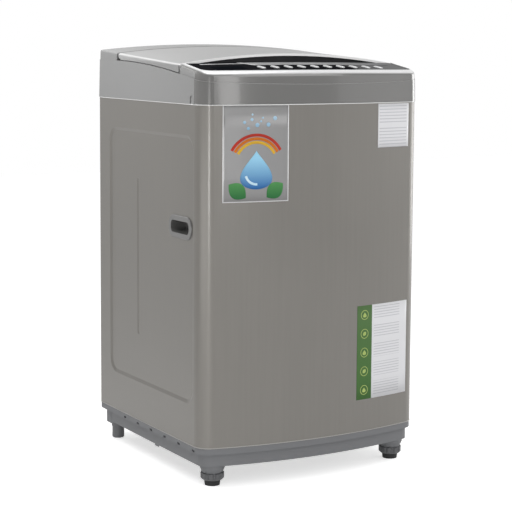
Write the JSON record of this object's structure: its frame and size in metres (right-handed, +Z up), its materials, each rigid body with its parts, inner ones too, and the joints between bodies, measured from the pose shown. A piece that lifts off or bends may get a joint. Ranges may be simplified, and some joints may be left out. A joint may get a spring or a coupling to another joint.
{
  "type": "top load washing machine",
  "caption": "Top load washing machine with a bowed front, arched lid, sloping console with push buttons, spinning basket, pulsator and belt drive.",
  "frame": {"origin": "on the floor, under the middle of the machine's bounding box", "axes": "+Z up, -Y towards the user at the front, +X to the right seen from the front"},
  "size_m": [0.543, 0.5605, 0.9197],
  "materials": {
    "cabinet_paint": "satin metallic paint",
    "plated_sheet": "zinc plated",
    "top_plastic": "metallic moulding",
    "apron_gloss": "gloss",
    "rim_bright": "bright plated",
    "panel_black": "gloss",
    "display_smoke": "gloss",
    "button_grey": "satin",
    "grip_black": "matte",
    "base_grey": "matte",
    "foot_black": "matte",
    "foot_rubber": "matte",
    "board_green": "matte",
    "tub_white": "matte",
    "basket_steel": "polished",
    "ring_white": "satin",
    "pulsator_blue": "satin",
    "shaft_steel": "ground",
    "case_aluminium": "cast",
    "motor_paint": "satin",
    "belt_rubber": "matte",
    "seal_rubber": "matte",
    "valve_white": "matte",
    "grommet_black": "matte"
  },
  "bodies": {
    "machine": {"cabinet_shell": "cabinet_paint", "rear_panel": "plated_sheet", "service_cover": "plated_sheet", "grip_left": "grip_black", "grip_right": "grip_black", "rear_grommets": "grommet_black", "base_frame": "base_grey", "rear_feet": "foot_rubber", "top_frame": "top_plastic", "front_apron": "apron_gloss", "console_rim": "rim_bright", "control_panel": "panel_black", "display_window": "display_smoke", "control_board": "board_green", "lid_hinge_brackets": "top_plastic", "drawer_housing": "tub_white", "inlet_valve": "valve_white", "corner_brackets": "plated_sheet", "suspension_rods": "shaft_steel"},
    "lid": {"lid_panel": "top_plastic", "lid_grip": "panel_black", "lid_liner": "tub_white", "lid_hinge_pins": "shaft_steel"},
    "drawer": {"detergent_drawer": "tub_white"},
    "tub_unit": {"outer_tub": "tub_white", "tub_cover": "tub_white", "gear_case": "case_aluminium", "shaft_bearings": "shaft_steel", "shaft_seal": "seal_rubber", "drive_plate": "plated_sheet", "plate_spacers": "plated_sheet", "motor": "motor_paint", "drive_belt": "belt_rubber", "drain_valve": "valve_white", "suspension_springs": "shaft_steel"},
    "basket": {"wash_basket": "basket_steel", "basket_base": "tub_white", "balance_ring": "ring_white", "spin_tube": "shaft_steel"},
    "pulsator": {"pulsator": "pulsator_blue", "pulsator_cap": "ring_white", "pulsator_shaft": "shaft_steel"},
    "drive": {"drive_pulley": "case_aluminium"},
    "motor_rotor": {"motor_pulley": "case_aluminium"},
    "foot_left": {"levelling_foot_left": "foot_black", "foot_pad_left": "foot_rubber"},
    "foot_right": {"levelling_foot_right": "foot_black", "foot_pad_right": "foot_rubber"},
    "button_1": {"button_1": "button_grey"},
    "button_2": {"button_2": "button_grey"},
    "button_3": {"button_3": "button_grey"},
    "button_4": {"button_4": "button_grey"},
    "button_5": {"button_5": "button_grey"},
    "button_6": {"button_6": "button_grey"},
    "button_7": {"button_7": "button_grey"},
    "button_8": {"button_8": "button_grey"},
    "button_9": {"button_9": "button_grey"},
    "button_10": {"button_10": "button_grey"}
  },
  "joints": [
    {"name": "lid_hinge", "type": "hinge", "parent": "machine", "child": "lid", "pos_m": [0, 0.14525, 0.902], "axis": [-1, 0, 0], "range_deg": [0, 90]},
    {"name": "button_1_press", "type": "slide", "parent": "machine", "child": "button_1", "axis": [0, 0.1295, -0.9916], "range_m": [0, 0.0015], "stiffness_N_per_m": 400, "springref_m": -0.001},
    {"name": "button_2_press", "type": "slide", "parent": "machine", "child": "button_2", "axis": [0, 0.1295, -0.9916], "range_m": [0, 0.0015], "stiffness_N_per_m": 400, "springref_m": -0.001},
    {"name": "button_3_press", "type": "slide", "parent": "machine", "child": "button_3", "axis": [0, 0.1295, -0.9916], "range_m": [0, 0.0015], "stiffness_N_per_m": 400, "springref_m": -0.001},
    {"name": "button_4_press", "type": "slide", "parent": "machine", "child": "button_4", "axis": [0, 0.1295, -0.9916], "range_m": [0, 0.0015], "stiffness_N_per_m": 400, "springref_m": -0.001},
    {"name": "button_5_press", "type": "slide", "parent": "machine", "child": "button_5", "axis": [0, 0.1295, -0.9916], "range_m": [0, 0.0015], "stiffness_N_per_m": 400, "springref_m": -0.001},
    {"name": "button_6_press", "type": "slide", "parent": "machine", "child": "button_6", "axis": [0, 0.1295, -0.9916], "range_m": [0, 0.0015], "stiffness_N_per_m": 400, "springref_m": -0.001},
    {"name": "button_7_press", "type": "slide", "parent": "machine", "child": "button_7", "axis": [0, 0.1295, -0.9916], "range_m": [0, 0.0015], "stiffness_N_per_m": 400, "springref_m": -0.001},
    {"name": "button_8_press", "type": "slide", "parent": "machine", "child": "button_8", "axis": [0, 0.1295, -0.9916], "range_m": [0, 0.0015], "stiffness_N_per_m": 400, "springref_m": -0.001},
    {"name": "button_9_press", "type": "slide", "parent": "machine", "child": "button_9", "axis": [0, 0.1295, -0.9916], "range_m": [0, 0.0015], "stiffness_N_per_m": 400, "springref_m": -0.001},
    {"name": "button_10_press", "type": "slide", "parent": "machine", "child": "button_10", "axis": [0, 0.1295, -0.9916], "range_m": [0, 0.0015], "stiffness_N_per_m": 400, "springref_m": -0.001},
    {"name": "foot_left_height", "type": "slide", "parent": "machine", "child": "foot_left", "axis": [0, 0, -1], "range_m": [0, 0.01]},
    {"name": "foot_right_height", "type": "slide", "parent": "machine", "child": "foot_right", "axis": [0, 0, -1], "range_m": [0, 0.01]},
    {"name": "drawer_slide", "type": "slide", "parent": "machine", "child": "drawer", "axis": [0, -1, 0], "range_m": [0, 0.08]},
    {"name": "tub_bounce", "type": "slide", "parent": "machine", "child": "tub_unit", "axis": [0, 0, 1], "range_m": [-0.012, 0.012], "stiffness_N_per_m": 12000, "springref_m": 0.02006, "deforming": ["suspension_springs"]},
    {"name": "basket_spin", "type": "hinge", "parent": "tub_unit", "child": "basket", "pos_m": [0, 0, 0.262], "axis": [0, 0, 1], "continuous": true},
    {"name": "pulsator_spin", "type": "hinge", "parent": "tub_unit", "child": "pulsator", "pos_m": [0, 0, 0.262], "axis": [0, 0, 1], "continuous": true},
    {"name": "drive_pulley_spin", "type": "hinge", "parent": "tub_unit", "child": "drive", "pos_m": [0, 0, 0.262], "axis": [0, 0, 1], "continuous": true},
    {"name": "motor_spin", "type": "hinge", "parent": "tub_unit", "child": "motor_rotor", "pos_m": [0.148, 0, 0.262], "axis": [0, 0, 1], "continuous": true}
  ],
  "couplings": [
    {"joint": "drive_pulley_spin", "follows": "pulsator_spin", "ratio": 5},
    {"joint": "motor_spin", "follows": "pulsator_spin", "ratio": 18.889}
  ]
}
